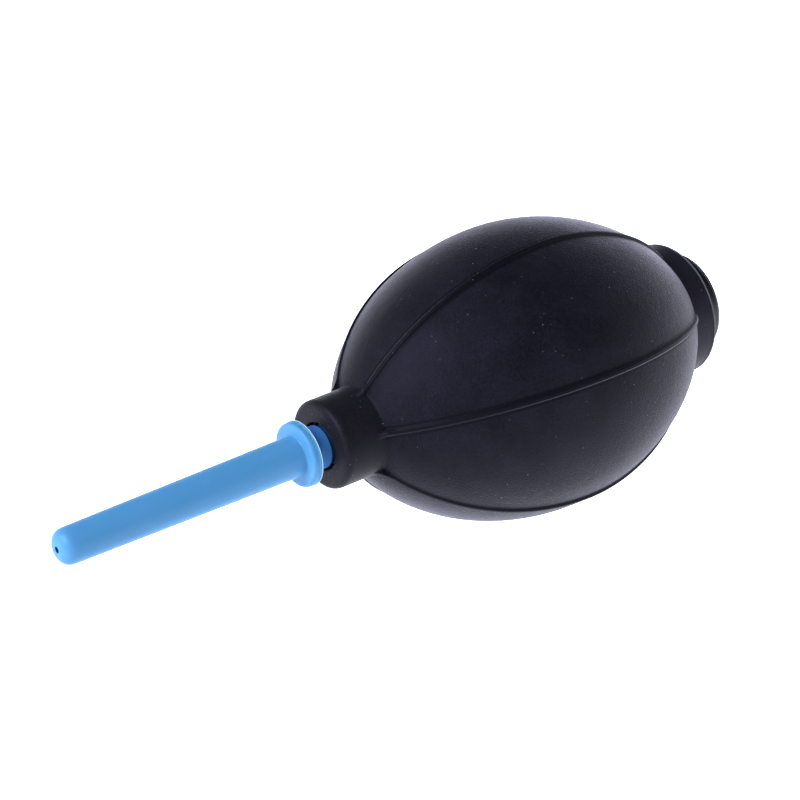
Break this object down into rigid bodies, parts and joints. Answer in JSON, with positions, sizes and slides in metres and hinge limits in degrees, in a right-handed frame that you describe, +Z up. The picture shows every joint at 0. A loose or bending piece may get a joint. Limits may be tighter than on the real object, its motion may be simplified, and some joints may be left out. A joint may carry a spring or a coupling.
{
  "type": "dust blower bulb",
  "caption": "Hand-squeezed rubber bulb with moulded ribs, a push-in plastic nozzle and a rear air inlet valve, for blowing dust off small parts.",
  "frame": {"origin": "centre of the bounding box in plan, on the surface that the bulb lies on", "axes": "+X along the bulb's axis from the nozzle tip to the rear valve, +Z up as the blower lies on its belly"},
  "size_m": [0.1436, 0.055, 0.0548],
  "materials": {
    "rubber": "matte, fine-grained black rubber",
    "nozzle_plastic": "glossy light blue injection-moulded plastic",
    "valve_metal": "turned aluminium, black anodised",
    "silicone": "matte translucent white silicone",
    "cage_plastic": "plain white moulded plastic",
    "steel": "plain stainless steel"
  },
  "bodies": {
    "bulb": {"bulb": "rubber"},
    "nozzle": {"nozzle": "nozzle_plastic"},
    "rear_valve": {"inlet_valve_housing": "valve_metal", "inlet_valve_cage": "cage_plastic", "inlet_valve_spring": "steel", "inlet_screen": "steel", "screen_ring": "steel"},
    "valve_disc": {"inlet_valve_disc": "silicone"}
  },
  "joints": [
    {"name": "squeeze", "type": "slide", "parent": "bulb", "child": "rear_valve", "axis": [-1, 0, 0], "range_m": [0, 0.018], "stiffness_N_per_m": 1200, "deforming": ["bulb"]},
    {"name": "nozzle_pull", "type": "slide", "parent": "bulb", "child": "nozzle", "axis": [-1, 0, 0], "range_m": [0, 0.014]},
    {"name": "inlet_valve_lift", "type": "slide", "parent": "rear_valve", "child": "valve_disc", "axis": [-1, 0, 0], "range_m": [0, 0.0012], "stiffness_N_per_m": 20, "springref_m": -0.0005, "deforming": ["inlet_valve_spring"]}
  ]
}
